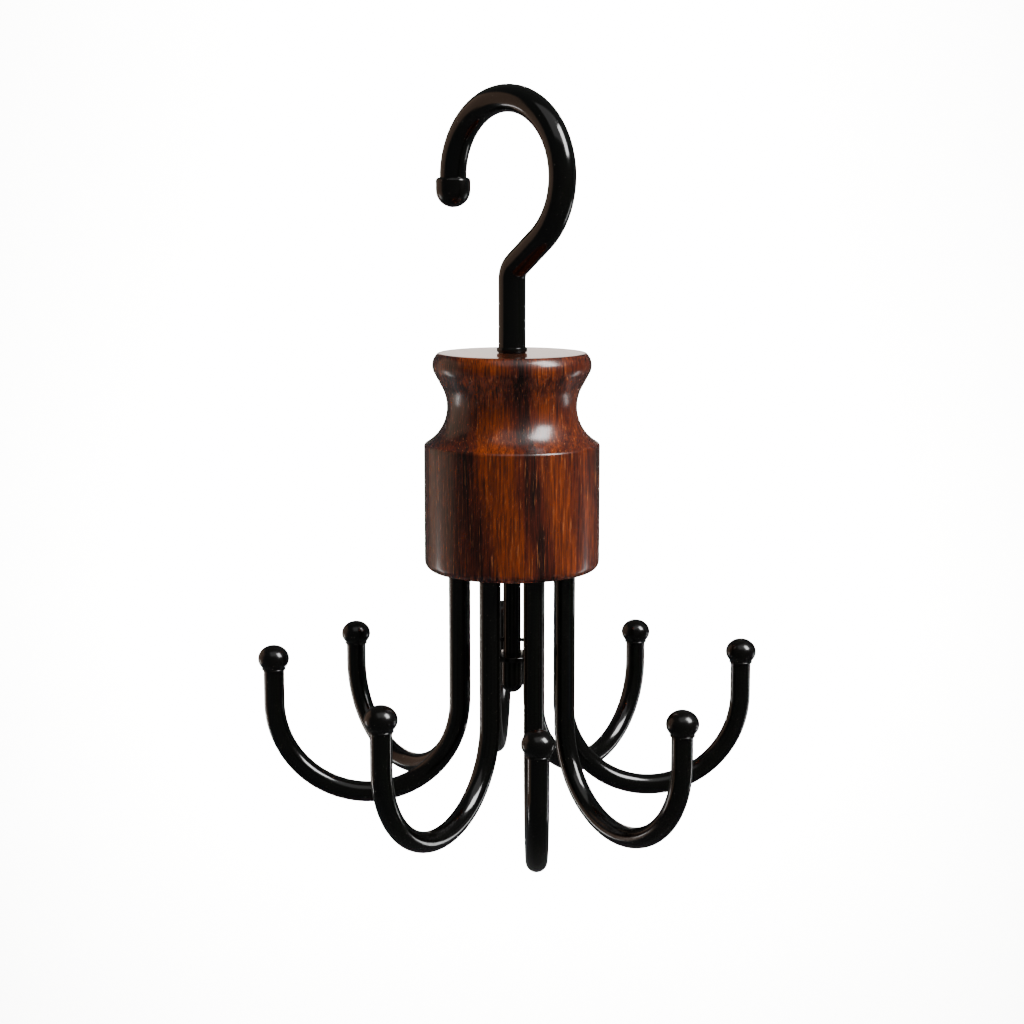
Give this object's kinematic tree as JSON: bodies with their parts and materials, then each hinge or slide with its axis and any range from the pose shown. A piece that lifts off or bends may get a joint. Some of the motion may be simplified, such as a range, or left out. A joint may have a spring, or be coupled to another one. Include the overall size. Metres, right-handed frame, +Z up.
{
  "type": "revolving tie hanger",
  "caption": "Hanging tie carousel: turned hardwood block that spins under a rail hook and carries ball-tipped bent rods for neckties.",
  "frame": {"origin": "where a rail bears on the inside of the hook's crown, on the swivel axis", "axes": "+Z up along the swivel axis; the hook lies in the XZ plane with its tip towards -X; a rail runs along Y"},
  "size_m": [0.1585, 0.1577, 0.2316],
  "materials": {
    "lacquered_rosewood": "clear gloss lacquer over dark red-brown streaked wood",
    "black_enamel": "gloss black enamel on bent steel rod",
    "black_moulding": "gloss black moulded plastic",
    "zinc_steel": "bright zinc plate",
    "bush_brass": "plain turned brass"
  },
  "bodies": {
    "hook": {"top_hook": "black_enamel", "hook_tip_knob": "black_moulding", "stop_ring": "black_enamel", "spindle": "black_enamel", "thrust_washer": "zinc_steel", "lock_nut": "zinc_steel", "cross_pin": "black_enamel", "end_washer": "black_enamel", "end_cap": "black_moulding"},
    "rack": {"wood_block": "lacquered_rosewood", "upper_bush": "bush_brass", "lower_bush": "bush_brass", "tie_hook_1": "black_enamel", "tie_hook_2": "black_enamel", "tie_hook_3": "black_enamel", "tie_hook_4": "black_enamel", "tie_hook_5": "black_enamel", "tie_hook_6": "black_enamel", "tie_hook_7": "black_enamel", "tie_hook_8": "black_enamel", "ball_tip_1": "black_moulding", "ball_tip_2": "black_moulding", "ball_tip_3": "black_moulding", "ball_tip_4": "black_moulding", "ball_tip_5": "black_moulding", "ball_tip_6": "black_moulding", "ball_tip_7": "black_moulding", "ball_tip_8": "black_moulding"}
  },
  "joints": [
    {"name": "swivel", "type": "hinge", "parent": "hook", "child": "rack", "pos_m": [0, 0, -0.141], "axis": [0, 0, 1], "continuous": true}
  ]
}
